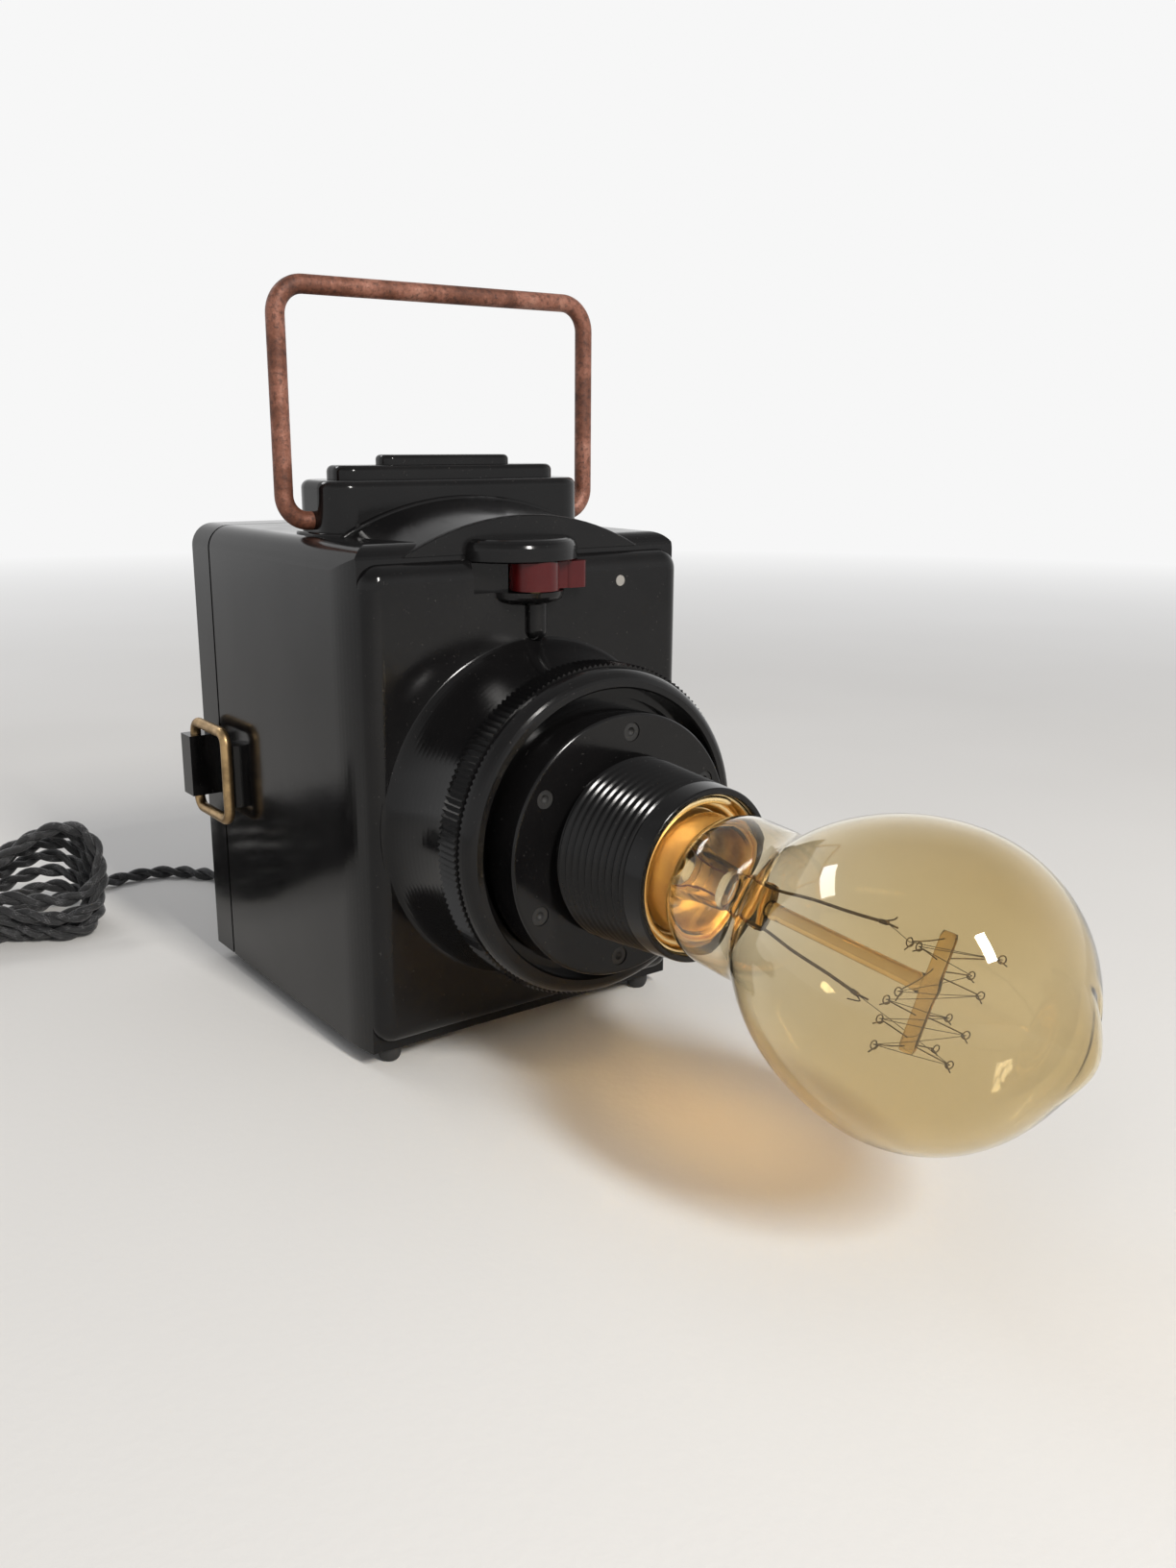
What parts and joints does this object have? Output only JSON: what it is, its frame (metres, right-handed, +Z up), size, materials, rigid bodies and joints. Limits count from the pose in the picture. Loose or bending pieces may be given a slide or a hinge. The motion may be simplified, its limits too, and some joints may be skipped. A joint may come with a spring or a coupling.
{
  "type": "hand lantern table lamp",
  "caption": "Moulded hand lantern case with wire bail, toothed lens ring and latched rear cover, fitted with a screw lampholder, filament bulb and twisted textile flex.",
  "frame": {"origin": "under the middle of the lamp without its cord, on the surface that the feet stand on", "axes": "+Z up, -Y is where the lens ring and the bulb point, +X to the right seen from the front"},
  "size_m": [0.2543, 0.3586, 0.1817],
  "materials": {
    "bakelite": "glossy moulded, slightly worn",
    "rubber": "matte",
    "rusty_wire": "rusted wire",
    "brass": "aged",
    "lever_plastic": "glossy dark red",
    "white_paint": "matte",
    "phenolic": "matte sheet",
    "ceramic": "glazed",
    "solder": "dull",
    "black_glass": "vitreous insulator",
    "amber_glass": "clear amber",
    "clear_glass": "clear",
    "support_wire": "drawn wire",
    "tungsten": "dark drawn wire",
    "textile_flex": "braided textile",
    "plug_plastic": "moulded"
  },
  "bodies": {
    "body": {"housing": "bakelite", "front_feet": "bakelite", "switch_spindle": "brass", "position_dot": "white_paint", "switch_block": "phenolic", "switch_contacts": "brass", "lens_gasket": "rubber", "adapter_disc": "bakelite", "disc_plugs": "bakelite", "lampholder_shell": "bakelite", "lampholder_nut": "bakelite", "lampholder_cap": "bakelite", "wire_nipple": "brass", "ceramic_insert": "ceramic", "screw_shell": "brass", "centre_contact": "brass", "terminal_screws": "brass", "inner_flex": "textile_flex"},
    "lens_ring": {"lens_ring": "bakelite"},
    "bulb": {"bulb_cap": "brass", "cap_insulator": "black_glass", "cap_contact": "solder", "bulb_glass": "amber_glass", "bulb_stem": "clear_glass", "glass_arbor": "clear_glass", "filament_supports": "support_wire", "lead_wires": "support_wire", "filament": "tungsten"},
    "handle": {"handle": "rusty_wire"},
    "switch_lever": {"switch_lever": "lever_plastic"},
    "rear_cover": {"rear_cover": "bakelite", "cover_seal": "rubber", "rear_feet": "bakelite", "cord_gland": "rubber", "cord_lead": "textile_flex", "cord_hank": "textile_flex", "cord_tail": "textile_flex", "plug_body": "plug_plastic", "plug_pins": "brass"},
    "latch_left": {"latch_left": "brass"},
    "latch_right": {"latch_right": "brass"}
  },
  "joints": [
    {"name": "handle_pivot", "type": "hinge", "parent": "body", "child": "handle", "pos_m": [0, 0.06784, 0.1262], "axis": [1, 0, 0], "range_deg": [-90, 90]},
    {"name": "switch_turn", "type": "hinge", "parent": "body", "child": "switch_lever", "pos_m": [-0.0018, 0.02514, 0.1154], "axis": [0, 0, 1], "range_deg": [-70, 0]},
    {"name": "ring_turn", "type": "hinge", "parent": "body", "child": "lens_ring", "pos_m": [0, 0.02934, 0.0585], "axis": [0, -1, 0], "continuous": true},
    {"name": "bulb_turn", "type": "hinge", "parent": "body", "child": "bulb", "pos_m": [-0.00025, -0.00816, 0.05763], "axis": [0.0523, -0.9985, -0.0131], "continuous": true},
    {"name": "cover_slide", "type": "slide", "parent": "body", "child": "rear_cover", "axis": [0, 1, 0], "range_m": [0, 0.03]},
    {"name": "latch_left_turn", "type": "hinge", "parent": "rear_cover", "child": "latch_left", "pos_m": [-0.0495, 0.11934, 0.0582], "axis": [0, 0, 1], "range_deg": [-120, 0]},
    {"name": "latch_right_turn", "type": "hinge", "parent": "rear_cover", "child": "latch_right", "pos_m": [0.0495, 0.11934, 0.0582], "axis": [0, 0, 1], "range_deg": [0, 120]}
  ],
  "couplings": [
    {"joint": "latch_left_turn", "follows": "cover_slide", "rad_per_m": -69.8},
    {"joint": "latch_right_turn", "follows": "cover_slide", "rad_per_m": 69.8}
  ]
}
